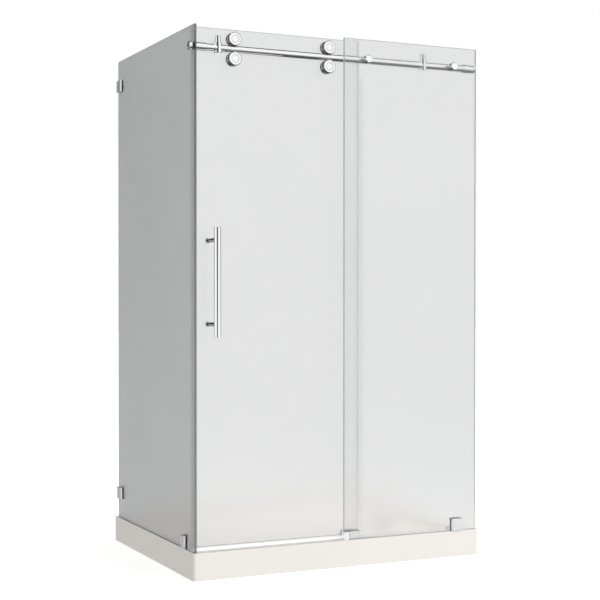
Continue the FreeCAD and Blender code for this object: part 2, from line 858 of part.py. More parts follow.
def make_clamps():
    gaskets = []
    screws = []
    for label, width, proud, x, y, z, rotation in clamp_places():
        cover = node(clamp_cover(label + "_cover", width, proud))
        bracket = node(clamp_bracket(label + "_bracket", width))
        outer = clamp_gasket(width, True)
        inner = clamp_gasket(width, False)
        screw = clamp_screw(proud)
        for piece in (cover, bracket, outer, inner, screw):
            place(piece, x, y, z, rotation)
        gaskets += [outer, inner]
        screws.append(screw)
    group("clamp_gaskets", gaskets)
    group("clamp_screws", screws)


def make_foot_screws():
    """Countersunk screws down into the tray: two hold clamps, two hold the door guide."""
    shank = size.foot_screw_radius
    head = shank * 2 - size.stud_fit
    sunk = size.stud_fit * 2
    profile = [
        (0, -size.foot_screw_length), (shank, -size.foot_screw_length),
        (shank, -shank - size.stud_fit), (head, -sunk), (0, -sunk),
    ]
    on_clamp = RIM_TOP + size.clamp_foot_thickness
    in_slot = RIM_TOP + size.guide_slot_floor
    tops = (on_clamp, on_clamp, in_slot, in_slot)
    group("foot_screws", [
        turned("foot_screw", profile, x, y, top)
        for (x, y), top in zip(floor_screw_places(), tops)
    ])


# --- rail and what holds it ---

def make_rail():
    rail_left = SIDE_INNER + size.gasket_thickness + size.socket_base
    rail_right = RIGHT_WALL - size.socket_base
    length = rail_right - rail_left
    node(turned("slide_rail",
                ring_profile(RAIL_RADIUS - size.rail_wall, RAIL_RADIUS, 0, length),
                rail_left, RAIL_Y, RAIL_Z, TO_RIGHT))

    bore = RAIL_RADIUS + size.rail_fit
    outer = size.socket_diameter / 2
    lip = size.rail_wall / 2
    stud_hole = size.stud_radius + size.stud_fit
    stud_depth = size.socket_base * 0.75
    socket = turned("rail_socket", [
        (0, stud_depth), (stud_hole, stud_depth), (stud_hole, 0), (outer, 0),
        (outer, size.socket_length - lip), (outer - lip, size.socket_length),
        (bore, size.socket_length), (bore, size.socket_base), (0, size.socket_base),
    ], SIDE_INNER + size.gasket_thickness, RAIL_Y, RAIL_Z, TO_RIGHT)
    drill_grub_hole(socket, size.socket_length - size.socket_base)
    node(socket)

    cap_outer = size.socket_cap_diameter / 2
    cap_height = size.socket_cap_proud - size.gasket_thickness
    step = cap_height / 4
    cap_hole_depth = cap_height - step * 1.5
    node(turned("rail_socket_cap", [
        (0, cap_hole_depth), (stud_hole, cap_hole_depth), (stud_hole, 0), (cap_outer, 0),
        (cap_outer, cap_height - step), (cap_outer - step / 2, cap_height - step / 2),
        (cap_outer * 0.72, cap_height - step / 2), (cap_outer * 0.68, cap_height - step),
        (cap_outer * 0.5, cap_height - step), (cap_outer * 0.46, cap_height), (0, cap_height),
    ], SIDE_OUTER - size.gasket_thickness, RAIL_Y, RAIL_Z, TO_LEFT))

    washer = ring_profile(size.stud_radius + size.gasket_thickness, outer - lip,
                          0, size.gasket_thickness)
    group("rail_socket_gaskets", [
        turned("socket_gasket_inner", washer, SIDE_INNER, RAIL_Y, RAIL_Z, TO_RIGHT),
        turned("socket_gasket_outer", washer, SIDE_OUTER, RAIL_Y, RAIL_Z, TO_LEFT),
    ])
    stud_length = (cap_hole_depth + size.gasket_thickness * 2 + size.glass_thickness + stud_depth
                   - size.stud_fit * 4)
    stud_start = SIDE_OUTER - size.gasket_thickness - cap_hole_depth + size.stud_fit * 2
    node(turned("rail_socket_stud", [(0, 0), (size.stud_radius, 0), (size.stud_radius, stud_length),
                                     (0, stud_length)],
                stud_start, RAIL_Y, RAIL_Z, TO_RIGHT))

    # wall bracket: a sleeve with a lip, screwed to the right wall through its base
    lip_outer = size.bracket_lip_diameter / 2
    bracket = turned("rail_wall_bracket", [
        (size.wall_screw_radius, 0), (outer, 0),
        (outer, size.bracket_length - size.bracket_lip_length),
        (lip_outer, size.bracket_length - size.bracket_lip_length + lip),
        (lip_outer, size.bracket_length - lip), (lip_outer - lip, size.bracket_length),
        (bore, size.bracket_length), (bore, size.socket_base),
        (size.wall_screw_radius, size.socket_base),
    ], RIGHT_WALL, RAIL_Y, RAIL_Z, TO_LEFT)
    drill_grub_hole(bracket, size.socket_base * 2)
    node(bracket)

    grub_length = outer - RAIL_RADIUS
    low_end = RAIL_Z - outer
    group("rail_grub_screws", [
        grub_screw("socket_grub", SIDE_INNER + size.gasket_thickness + size.socket_length
                   - size.socket_base, RAIL_Y, low_end, grub_length),
        grub_screw("bracket_grub", RIGHT_WALL - size.socket_base * 2, RAIL_Y, low_end, grub_length),
    ])


def drill_grub_hole(body, along):
    """A radial hole in a turned sleeve, on its underside once it lies along the rail."""
    hole = new_sketch(body, "YZ_Plane")
    draw_circle(hole, 0, along, size.grub_radius + size.stud_fit)
    # the sleeve's own X axis ends up or down, and only the lower wall is drilled
    own_x = body.Placement.Rotation.multVec(FreeCAD.Vector(1, 0, 0))
    pocket(body, hole, size.socket_diameter, backwards=own_x.z < 0)


def grub_screw(label, x, y, low, length):
    """Headless screw pointing up, with its key socket in the lower end."""
    key = size.grub_radius * 0.5
    return turned(label, [
        (0, length / 2), (key, length / 2), (key, 0), (size.grub_radius, 0),
        (size.grub_radius, length), (0, length),
    ], x, y, low)


def make_connectors():
    gaskets = []
    studs = []
    saddles = []
    radius = size.connector_diameter / 2
    height = size.connector_proud - size.gasket_thickness
    stud_hole = size.stud_radius + size.stud_fit
    washer = ring_profile(size.stud_radius + size.gasket_thickness, size.saddle_radius,
                          0, size.gasket_thickness)
    saddle_height = size.rail_standoff - size.gasket_thickness
    places = (
        ("left", FIXED_LEFT + size.connector_left_inset),
        ("right", FIXED_LEFT + size.fixed_panel_width - size.connector_right_inset),
    )
    for side, x in places:
        node(turned("connector_cap_" + side, [
            (0, height * 0.7), (stud_hole, height * 0.7), (stud_hole, 0), (radius, 0),
            (radius, height * 0.8), (radius * 0.87, height * 0.95), (radius * 0.55, height),
            (0, height),
        ], x, GLASS_FRONT - size.gasket_thickness, RAIL_Z, TO_FRONT))
        gaskets.append(turned("connector_gasket_outer", washer, x, GLASS_FRONT, RAIL_Z, TO_FRONT))
        gaskets.append(turned("connector_gasket_inner", washer, x, GLASS_BACK, RAIL_Z, TO_BACK))
        saddle = turned("connector_saddle",
                        ring_profile(stud_hole, size.saddle_radius, 0, saddle_height),
                        x, GLASS_BACK + size.gasket_thickness, RAIL_Z, TO_BACK)
        seat = new_sketch(saddle, "YZ_Plane")
        draw_circle(seat, 0, saddle_height, RAIL_RADIUS + size.rail_fit)
        pocket(saddle, seat)
        saddles.append(saddle)
        start = GLASS_FRONT - size.gasket_thickness - height * 0.7 + size.stud_fit * 2
        length = RAIL_Y - RAIL_RADIUS - size.stud_fit * 2 - start
        studs.append(turned("connector_stud", [
            (0, 0), (size.stud_radius, 0), (size.stud_radius, length), (0, length),
        ], x, start, RAIL_Z, TO_BACK))
    group("connector_gaskets", gaskets)
    group("connector_saddles", saddles)
    group("connector_studs", studs)


def make_stops():
    grubs = []
    radius = size.stop_diameter / 2
    half = size.stop_height / 2
    post = size.stop_post_diameter / 2
    edge = size.rail_wall / 2
    groove_low = -half + edge * 4
    for side, x in (("left", SIDE_INNER + size.stop_left_inset),
                    ("right", RIGHT_WALL - size.stop_right_inset)):
        stop = turned("rail_stop_" + side, [
            (0, -half), (radius - edge, -half), (radius, -half + edge),
            (radius, groove_low), (radius - edge, groove_low), (radius - edge, groove_low + edge),
            (radius, groove_low + edge),
            (radius, half - edge), (radius - edge, half), (post, half),
            (post, half + size.stop_post_height - edge), (post - edge, half + size.stop_post_height),
            (0, half + size.stop_post_height),
        ], x, RAIL_Y, RAIL_Z)
        tunnel = new_sketch(stop, "YZ_Plane")
        draw_circle(tunnel, 0, 0, RAIL_RADIUS + size.rail_fit)
        pocket(stop, tunnel)
        grub_hole = new_sketch(stop, "XY_Plane", -half)
        draw_circle(grub_hole, 0, 0, size.grub_radius + size.stud_fit)
        pocket(stop, grub_hole, half - RAIL_RADIUS + edge, backwards=True)
        node(stop)
        grubs.append(grub_screw("stop_grub", x, RAIL_Y, RAIL_Z - half, half - RAIL_RADIUS))
    group("stop_grub_screws", grubs)


# --- door hardware ---

def roller_places():
    left = DOOR_LEFT + size.roller_left_inset
    right = left + size.roller_pitch
    return [
        ("upper_left", left, RAIL_Z + ROLLER_OFFSET),
        ("upper_right", right, RAIL_Z + ROLLER_OFFSET),
        ("lower_left", left, RAIL_Z - ROLLER_OFFSET),
        ("lower_right", right, RAIL_Z - ROLLER_OFFSET),
    ]


def make_rollers():
    """Each roller turns on a bearing on its axle; the tread is hollow to sit round the rail."""
    half = size.rail_standoff - size.roller_front_gap
    seat_front = half - size.axle_head_thickness
    seat_back = seat_front - size.bearing_width
    hub = size.bearing_radius + size.axle_fit
    shoulder = size.bearing_radius - size.roller_tread_depth
    hollow = ROLLER_RADIUS - size.clamp_plate
    recess = size.axle_head_radius + size.rail_wall / 4
    web_back = half - size.axle_head_thickness - size.roller_web
    axles = []
    spacers = []
    gaskets = []
    nuts = []
    washer_outer = size.back_nut_radius - size.gasket_thickness
    washer = ring_profile(size.axle_radius + size.axle_fit, washer_outer, 0, size.gasket_thickness)
    for label, x, z in roller_places():
        wheel = turned("roller_wheel_" + label, [
            (hub, seat_back), (shoulder, seat_back), (shoulder, web_back), (hollow, web_back),
            (hollow, -half), (ROLLER_RADIUS, -half), (ROLLER_RADIUS, half - size.roller_bevel),
            (ROLLER_RADIUS - size.roller_bevel, half), (recess, half), (recess, seat_front),
            (hub, seat_front),
        ], x, RAIL_Y, z, TO_FRONT)
        tread = new_sketch(wheel, "XZ_Plane")
        draw_circle(tread, ROLLER_OFFSET, 0, RAIL_RADIUS + size.roller_rail_clearance)
        groove(wheel, tread)
        node(wheel)
        bearing_inner = size.axle_radius + size.axle_fit
        shield = size.bearing_width / 16
        inner_race = bearing_inner + size.bearing_race
        outer_race = size.bearing_radius - size.bearing_race
        node(turned("roller_bearing_" + label, [
            (bearing_inner, seat_back), (inner_race, seat_back), (inner_race, seat_back + shield),
            (outer_race, seat_back + shield), (outer_race, seat_back),
            (size.bearing_radius, seat_back), (size.bearing_radius, seat_front),
            (outer_race, seat_front), (outer_race, seat_front - shield),
            (inner_race, seat_front - shield), (inner_race, seat_front), (bearing_inner, seat_front),
        ], x, RAIL_Y, z, TO_FRONT))

        glass_front = size.rail_standoff - size.panel_gap
        axle_end = glass_front - size.glass_thickness - size.gasket_thickness - size.back_nut_thickness / 2
        head = seat_front + size.seal_gap
        dome = size.axle_head_thickness / 3
        axles.append(turned("roller_axle", [
            (0, axle_end), (size.axle_radius, axle_end), (size.axle_radius, head),
            (size.axle_head_radius, head), (size.axle_head_radius, half - dome),
            (size.axle_head_radius - dome, half), (0, half),
        ], x, RAIL_Y, z, TO_FRONT))
        sleeve = size.axle_radius + size.rail_wall * 1.5
        flange_front = -half - size.roller_front_gap / 4
        spacers.append(turned("roller_spacer", [
            (size.axle_radius + size.axle_fit, glass_front + size.gasket_thickness),
            (size.back_nut_radius, glass_front + size.gasket_thickness),
            (size.back_nut_radius, flange_front), (sleeve, flange_front),
            (sleeve, seat_back - size.axle_fit * 4),
            (size.axle_radius + size.axle_fit, seat_back - size.axle_fit * 4),
        ], x, RAIL_Y, z, TO_FRONT))
        gaskets.append(turned("roller_gasket_front", washer, x, DOOR_FRONT, z, TO_FRONT))
        gaskets.append(turned("roller_gasket_back", washer, x, DOOR_BACK, z, TO_BACK))
        nuts.append(back_nut("roller_back_nut", size.back_nut_radius, size.axle_radius, x, z))
    group("roller_axles", axles)
    group("roller_spacers", spacers)
    group("roller_gaskets", gaskets)
    group("roller_back_nuts", nuts)


def back_nut(label, radius, stud, x, z):
    """Round cap nut on the inner face of the door, with a blind hole for the stud."""
    depth = size.back_nut_thickness / 2 + size.stud_fit * 2
    edge = size.back_nut_thickness / 5
    hole = stud + size.axle_fit
    return turned(label, [
        (0, depth), (hole, depth), (hole, 0), (radius, 0), (radius, size.back_nut_thickness - edge),
        (radius - edge, size.back_nut_thickness), (0, size.back_nut_thickness),
    ], x, DOOR_BACK + size.gasket_thickness, z, TO_BACK)


def make_handle():
    x = DOOR_LEFT + size.handle_inset
    middle = DOOR_BOTTOM + size.handle_height
    bar_y = DOOR_FRONT - size.handle_standoff
    radius = size.handle_diameter / 2
    inside = radius - size.handle_wall
    low = middle - size.handle_length / 2
    cap = size.handle_wall
    plug = size.handle_diameter / 3
    node(turned("handle_bar",
                ring_profile(inside, radius, cap, size.handle_length - cap),
                x, bar_y, low))
    cap_profile = [(0, -cap), (radius - cap / 2, -cap), (radius, -cap / 2), (radius, 0),
                   (inside - size.axle_fit, 0), (inside - size.axle_fit, plug), (0, plug)]
    group("handle_end_caps", [
        turned("handle_cap_low", cap_profile, x, bar_y, low + cap),
        turned("handle_cap_high", cap_profile, x, bar_y, low + size.handle_length - cap, DOWNWARD),
    ])
    post_radius = size.handle_post_diameter / 2
    post_length = size.handle_standoff - size.gasket_thickness
    stud_hole = size.stud_radius + size.stud_fit
    stud_depth = size.clamp_plate * 1.5
    posts = []
    studs = []
    gaskets = []
    nuts = []
    washer = ring_profile(size.stud_radius + size.stud_fit, post_radius, 0, size.gasket_thickness)
    for side in (-1, 1):
        z = middle + size.handle_post_pitch / 2 * side
        post = turned("handle_post", [
            (0, stud_depth), (stud_hole, stud_depth), (stud_hole, 0), (post_radius, 0),
            (post_radius, post_length), (0, post_length),
        ], x, DOOR_FRONT - size.gasket_thickness, z, TO_FRONT)
        seat = new_sketch(post, "XZ_Plane")
        draw_circle(seat, 0, post_length, radius + size.axle_fit)
        pocket(post, seat)
        posts.append(post)
        stud_end = size.gasket_thickness + stud_depth - size.stud_fit * 2
        stud_start = (-size.glass_thickness - size.gasket_thickness
                      - size.back_nut_thickness / 2 + size.stud_fit)
        studs.append(turned("handle_stud", [
            (0, stud_start), (size.stud_radius, stud_start), (size.stud_radius, stud_end),
            (0, stud_end),
        ], x, DOOR_FRONT, z, TO_FRONT))
        gaskets.append(turned("handle_gasket_front", washer, x, DOOR_FRONT, z, TO_FRONT))
        gaskets.append(turned("handle_gasket_back", washer, x, DOOR_BACK, z, TO_BACK))
        nuts.append(back_nut("handle_back_nut", size.handle_nut_radius, size.stud_radius, x, z))
    group("handle_posts", posts)
    group("handle_studs", studs)
    group("handle_gaskets", gaskets)
    group("handle_back_nuts", nuts)


def make_door_seals():
    """Clear channel strips pressed on the two upright edges of the door."""
    wall = size.seal_wall
    leg = size.seal_leg
    back = size.glass_thickness
    nose = size.door_side_gap - size.seal_gap
    body = new_body("door_edge_seal")
    section = new_sketch(body, "XY_Plane")
    draw_outline(section, [
        (leg, 0), (leg, -wall), (-wall, -wall), (-wall, back / 2 - wall), (-nose + wall, back / 2 - wall),
        (-nose, back / 2), (-nose + wall, back / 2 + wall), (-wall, back / 2 + wall),
        (-wall, back + wall), (leg, back + wall), (leg, back), (0, back), (0, 0),
    ])
    pad(body, section, DOOR_HEIGHT)
    place(body, DOOR_LEFT, DOOR_FRONT, DOOR_BOTTOM)
    node(body)

    seal_low = size.guide_height - size.door_floor_gap + size.seal_wall * 2
    seal_high = DOOR_HEIGHT - size.rail_drop - ROLLER_OFFSET * 2
    fin = size.panel_gap - size.seal_gap
    body = new_body("door_overlap_seal")
    section = new_sketch(body, "XY_Plane")
    draw_outline(section, [
        (-leg, 0), (-leg, -wall), (0, -wall), (0, -fin), (wall, -fin), (wall, back + wall),
        (-leg, back + wall), (-leg, back), (0, back), (0, 0),
    ])
    pad(body, section, seal_high - seal_low)
    place(body, DOOR_LEFT + DOOR_WIDTH, DOOR_FRONT, DOOR_BOTTOM + seal_low)
    node(body)


# --- door guide and threshold ---

def make_guide():
    body = new_body("door_guide")
    slot_front = size.panel_gap - size.guide_slot_clearance
    slot_back = size.panel_gap + size.glass_thickness + size.guide_slot_clearance
    end = slot_back + size.guide_inner_wall
    start = size.guide_slot_clearance
    section = new_sketch(body, "YZ_Plane")
    draw_outline(section, [
        (start, 0), (start, size.guide_height), (slot_front, size.guide_height),
        (slot_front, size.guide_slot_floor), (slot_back, size.guide_slot_floor),
        (slot_back, size.guide_height), (end, size.guide_height), (end, 0),
    ])
    pad(body, section, size.guide_length)

    def crown(edge):
        box = edge.BoundBox
        return is_line(edge) and at_height(edge, size.guide_height) and box.XLength > 1
    dress(body, "Fillet", edges_where(body, crown), size.guide_inner_wall / 4)

    # the toe fills the notch of the fixed panel
    toe = new_sketch(body, "XY_Plane")
    gap = size.guide_slot_clearance
    draw_rectangle(toe, -size.guide_left_inset + gap * 2, -size.glass_thickness + gap,
                   size.notch_width - size.guide_left_inset - gap, start + gap)
    pad(body, toe, size.notch_height - gap)
    holes = new_sketch(body, "XY_Plane", size.guide_slot_floor)
    middle = size.panel_gap + size.glass_thickness / 2
    for side in (-1, 1):
        draw_circle(holes, size.guide_length / 2 + size.guide_screw_pitch / 2 * side, middle,
                    size.foot_screw_radius + size.stud_fit)
    pocket(body, holes, size.guide_slot_floor)

    def sink(edge):
        return at_height(edge, size.guide_slot_floor) and not is_line(edge)
    dress(body, "Chamfer", edges_where(body, sink), size.foot_screw_radius)
    place(body, FIXED_LEFT + size.guide_left_inset, GLASS_BACK, RIM_TOP)
    node(body)


def make_threshold():
    body = new_body("threshold_bar")
    start = SIDE_INNER + size.guide_slot_clearance
    end = FIXED_LEFT + size.guide_left_inset - size.guide_slot_clearance
    section = new_sketch(body, "YZ_Plane")
    half = size.threshold_width / 2
    draw_rectangle(section, -half, 0, half, size.threshold_height)
    pad(body, section, end - start)

    def crest(edge):
        return is_line(edge) and at_height(edge, size.threshold_height) and edge.BoundBox.XLength > 1
    dress(body, "Fillet", edges_where(body, crest), size.threshold_radius)
    place(body, start, DOOR_FRONT + size.glass_thickness / 2, RIM_TOP)
    node(body)


def export_nodes():
    doc.recompute()
    for item in doc.Objects:
        if "Invalid" in item.State or "Error" in item.State:
            raise RuntimeError("%s failed to compute" % item.Label)
    os.makedirs("parts", exist_ok=True)
    for item in nodes:
        shape = item.Shape
        if shape.isNull() or not shape.isValid():
            raise RuntimeError("%s has no valid shape" % item.Label)
        shape.exportStep("parts/%s.step" % item.Label)
    print(len(nodes), "nodes written")


make_tray()
make_rib_frame()
make_drain()
make_panels()
make_wall_seals()
make_clamps()
make_foot_screws()
make_rail()
make_connectors()
make_stops()
make_rollers()
make_handle()
make_door_seals()
make_guide()
make_threshold()
export_nodes()
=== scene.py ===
import json
import math

import bpy
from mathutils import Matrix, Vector

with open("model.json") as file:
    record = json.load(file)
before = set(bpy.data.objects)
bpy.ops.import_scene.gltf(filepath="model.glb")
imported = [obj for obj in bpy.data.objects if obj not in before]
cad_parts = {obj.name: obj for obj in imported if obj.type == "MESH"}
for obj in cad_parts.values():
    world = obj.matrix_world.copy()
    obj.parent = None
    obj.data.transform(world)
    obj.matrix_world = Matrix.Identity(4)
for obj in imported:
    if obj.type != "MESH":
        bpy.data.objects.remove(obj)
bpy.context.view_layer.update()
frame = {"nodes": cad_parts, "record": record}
nodes = frame["nodes"]

# Metres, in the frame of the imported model: +X right, +Y into the corner, +Z up.

FRONT_PANELS = ("fixed_panel", "door_panel")
SIDE_PANELS = ("side_panel",)


# --- camera, as calibrated on the photograph's straight edges ---

IMAGE_SIDE = 600
FOCAL_PIXELS = 1312.77
CENTRE_COLUMN = 274.71
CENTRE_ROW = 310.79
CAMERA_PLACE = (-2.30324, -4.78739, 1.01231)
CAMERA_YAW = math.radians(24.973)
CAMERA_PITCH = math.radians(0.61)


def add_camera():
    data = bpy.data.cameras.new("camera")
    camera = bpy.data.objects.new("camera", data)
    bpy.context.scene.collection.objects.link(camera)
    camera.location = CAMERA_PLACE
    camera.rotation_euler = (math.pi / 2 - CAMERA_PITCH, 0, -CAMERA_YAW)
    data.lens = FOCAL_PIXELS / IMAGE_SIDE * data.sensor_width
    data.shift_x = (IMAGE_SIDE / 2 - CENTRE_COLUMN) / IMAGE_SIDE
    data.shift_y = (CENTRE_ROW - IMAGE_SIDE / 2) / IMAGE_SIDE
    bpy.context.scene.camera = camera


# --- node helpers ---

def grey(level):
    return (level, level, level, 1)


def feed(tree, socket, value):
    """Give a socket its value: a number or colour is set, an output is linked."""
    if isinstance(value, (int, float, tuple)):
        socket.default_value = value
    else:
        tree.links.new(value, socket)


def feed_all(tree, item, values):
    for name, value in values.items():
        feed(tree, item.inputs[name], value)


def new_material(name):
    material = bpy.data.materials.new(name)
    material.use_nodes = True
    tree = material.node_tree
    tree.nodes.clear()
    output = tree.nodes.new("ShaderNodeOutputMaterial")
    shader = tree.nodes.new("ShaderNodeBsdfPrincipled")
    tree.links.new(shader.outputs["BSDF"], output.inputs["Surface"])
    return material, tree, shader


def ramp(tree, source, stops):
    """A colour ramp through (place, grey or colour) stops."""
    item = tree.nodes.new("ShaderNodeValToRGB")
    elements = item.color_ramp.elements
    while len(elements) < len(stops):
        elements.new(0.5)
    for element, (place, colour) in zip(elements, stops):
        element.position = place
        element.color = colour if isinstance(colour, tuple) else grey(colour)
    tree.links.new(source, item.inputs["Fac"])
    return item.outputs["Color"]


def wander(tree, source, tones, start=0.3, end=0.7):
    """From the first tone to the second while the source goes from start to end."""
    first, second = tones
    return ramp(tree, source, [(start, first), (end, second)])


def noise(tree, scale, detail=3.0, roughness=0.5, coordinates=None):
    item = tree.nodes.new("ShaderNodeTexNoise")
    if coordinates is None:
        place = tree.nodes.new("ShaderNodeTexCoord")
        coordinates = place.outputs["Object"]
    feed_all(tree, item, {
        "Scale": scale,
        "Detail": detail,
        "Roughness": roughness,
        "Vector": coordinates,
    })
    return item.outputs["Fac"]


def stretched_noise(tree, stretch, roughness):
    """Noise in object coordinates that are multiplied by the three factors of stretch."""
    place = tree.nodes.new("ShaderNodeTexCoord")
    mapping = tree.nodes.new("ShaderNodeMapping")
    feed_all(tree, mapping, {"Scale": stretch, "Vector": place.outputs["Object"]})
    return noise(tree, scale=1, roughness=roughness, coordinates=mapping.outputs["Vector"])


def maths(tree, operation, *values):
    item = tree.nodes.new("ShaderNodeMath")
    item.operation = operation
    for socket, value in zip(item.inputs, values):
        feed(tree, socket, value)
    return item.outputs["Value"]


def mix_colour(tree, factor, first, second, blend="MIX"):
    item = tree.nodes.new("ShaderNodeMix")
    item.data_type = "RGBA"
    item.blend_type = blend
    in_use = {socket.name: socket for socket in item.inputs if socket.enabled}
    for name, value in (("Factor", factor), ("A", first), ("B", second)):
        feed(tree, in_use[name], value)
    return [socket for socket in item.outputs if socket.enabled][0]


def bump(tree, shader, height, strength, distance=0.0001):
    item = tree.nodes.new("ShaderNodeBump")
    feed_all(tree, item, {"Distance": distance, "Strength": strength, "Height": height})
    tree.links.new(item.outputs["Normal"], shader.inputs["Normal"])


def squareness(tree, axis):
    """1 on the faces square to an axis, 0 on the sides and edges between them."""
    geometry = tree.nodes.new("ShaderNodeNewGeometry")
    split = tree.nodes.new("ShaderNodeSeparateXYZ")
    tree.links.new(geometry.outputs["True Normal"], split.inputs["Vector"])
    along = maths(tree, "ABSOLUTE", split.outputs[axis])
    return wander(tree, along, (0.0, 1.0), start=0.85, end=0.95)


# --- colours; a pair is the two tones between which a noise wanders ---

WHITE = grey(1)
ACRYLIC_TONES = (0.880, 0.845, 0.800, 1), (0.892, 0.858, 0.814, 1)
FRONT_GLASS_TONES = (0.98, 0.985, 0.983, 1), (0.995, 1.0, 0.998, 1)
FRONT_GLASS_EDGE = (0.24, 0.27, 0.26, 1)
# the side glass is the front's glass in painted shade: darker tones for the side that gets less
# light
SIDE_GLASS_PAINTED_SHADE_TONES = (0.665, 0.672, 0.671, 1), (0.695, 0.702, 0.701, 1)
SIDE_GLASS_EDGE = (0.36, 0.39, 0.38, 1)
CHROME_FILM = (0.96, 0.965, 0.985)
WHEEL_FACE_TONES = (0.865, 0.87, 0.885, 1), grey(0.9)
# the tread's darkness is painted shade for the shadow in the groove and in the gap beside the
# glass
WHEEL_TREAD_PAINTED_SHADE_TONES = 0.34, 0.46
SUPPORT_COLOUR = (0.72, 0.72, 0.70, 1)
RUBBER_COLOUR = (0.03, 0.03, 0.032, 1)
VINYL_TONES = (0.93, 0.945, 0.95, 1), (0.97, 0.975, 0.98, 1)
POWDER_COAT_TONES = (0.93, 0.93, 0.92, 1), (0.96, 0.96, 0.955, 1)
FLOOR_TONES = 0.80, 0.83

# roughness of metal, in the same way
POLISHED = 0.03, 0.07
BRUSHED = 0.32, 0.5


# --- materials ---

def acrylic():
    """Cast acrylic with a faint warm mottle and a very slight orange-peel skin."""
    material, tree, shader = new_material("white_acrylic")
    feed_all(tree, shader, {
        "Base Color": wander(tree, noise(tree, scale=3), ACRYLIC_TONES),
        "Roughness": wander(tree, noise(tree, scale=8), (0.30, 0.36), start=0.35, end=0.75),
        "Specular IOR Level": 0.1,
    })
    bump(tree, shader, noise(tree, scale=160, detail=2), strength=0.08)
    return material


def frosted_glass(name, thickness_axis, tones, edge_colour, roughness, refraction):
    """Etched glass: fine sandblasted grain and slow clouding on its faces, darker ground edges."""
    material, tree, shader = new_material(name)
    grain = noise(tree, scale=1400, detail=1)
    clouding = wander(tree, noise(tree, scale=2.2), tones)
    specks = wander(tree, grain, (0.95, 1.0), start=0.35, end=0.65)
    speck_share = 0.4
    face_colour = mix_colour(tree, speck_share, clouding, specks, "MULTIPLY")
    on_face = squareness(tree, thickness_axis)
    feed_all(tree, shader, {
        "Base Color": mix_colour(tree, on_face, edge_colour, face_colour),
        "Roughness": wander(tree, grain, roughness, start=0.42, end=0.58),
        "IOR": refraction,
        "Transmission Weight": 0.97,
    })
    return material


def wiping_film(tree):
    """The faint marks that wiping leaves on metal."""
    return noise(tree, scale=40, detail=4)


def polish(tree, film):
    return wander(tree, film, POLISHED, start=0.3, end=0.75)


def metal(name, level=0.9, stretch=None, metallic=1.0):
    """Metal with a faint film, polished or, where stretch is given, brushed along X, Y, Z."""
    material, tree, shader = new_material(name)
    film = wiping_film(tree)
    film_colour = tuple(level * share for share in CHROME_FILM) + (1,)
    if stretch is None:
        roughness = polish(tree, film)
    else:
        lines = stretched_noise(tree, stretch, roughness=0.6)
        roughness = wander(tree, lines, BRUSHED)
        bump(tree, shader, lines, strength=0.4, distance=0.00006)
    feed_all(tree, shader, {
        "Metallic": metallic,
        "Base Color": wander(tree, film, (film_colour, grey(level))),
        "Roughness": roughness,
    })
    return material


def wheel_chrome():
    """Polished wheel faces; the turned tread and the groove that rolls on the rail are darker:
    real turning lines, with their darkness painted shade for the shadow in the groove and the gap
    beside the glass.
    """
    material, tree, shader = new_material("rolling_chrome")
    film = wiping_film(tree)
    face = wander(tree, film, WHEEL_FACE_TONES)
    turning_lines = stretched_noise(tree, (30, 900, 30), roughness=0.6)
    tread_painted_shade = wander(tree, turning_lines, WHEEL_TREAD_PAINTED_SHADE_TONES)
    tread_roughness = grey(0.18)
    on_face = squareness(tree, "Y")
    feed_all(tree, shader, {
        "Metallic": 1.0,
        "Base Color": mix_colour(tree, on_face, tread_painted_shade, face),
        "Roughness": mix_colour(tree, on_face, tread_roughness, polish(tree, film)),
    })
    return material


def plastic(name, colour, roughness):
    """Moulded plastic or rubber with a fine spark-eroded texture."""
    material, tree, shader = new_material(name)
    mottle = 0.94
    darker = tuple(part * mottle for part in colour[:3]) + (1,)
    feed_all(tree, shader, {
        "Base Color": wander(tree, noise(tree, scale=12, detail=4), (darker, colour)),
        "Roughness": wander(tree, noise(tree, scale=60, detail=4), roughness),
    })
    bump(tree, shader, noise(tree, scale=450, detail=2), strength=0.5)
    return material


def clear_vinyl():
    """Clear flexible strip, slightly cloudy along its length."""
    material, tree, shader = new_material("clear_vinyl")
    cloud = stretched_noise(tree, (60, 60, 4), roughness=0.5)
    feed_all(tree, shader, {
        "Base Color": wander(tree, cloud, VINYL_TONES),
        "Roughness": wander(tree, cloud, (0.08, 0.2)),
        "IOR": 1.2,
        "Transmission Weight": 0.9,
        "Alpha": 0.14,
    })
    return material


def powder_coat_with_painted_glow():
    """White powder-coated aluminium with a fine dimpled skin and a faint painted glow that stands
    in for the light bounced onto it.
    """
    material, tree, shader = new_material("white_profile_painted_glow")
    feed_all(tree, shader, {
        "Base Color": wander(tree, noise(tree, scale=9), POWDER_COAT_TONES),
        "Roughness": wander(tree, noise(tree, scale=90), (0.34, 0.46)),
        # the emission is painted light: a glow that stands in for bounced light, not a lamp
        "Emission Color": WHITE,
        "Emission Strength": 0.35,
    })
    bump(tree, shader, noise(tree, scale=600, detail=2), strength=0.2)
    return material


def assign(material, names):
    for name in names:
        for slot in nodes[name].material_slots:
            slot.material = material


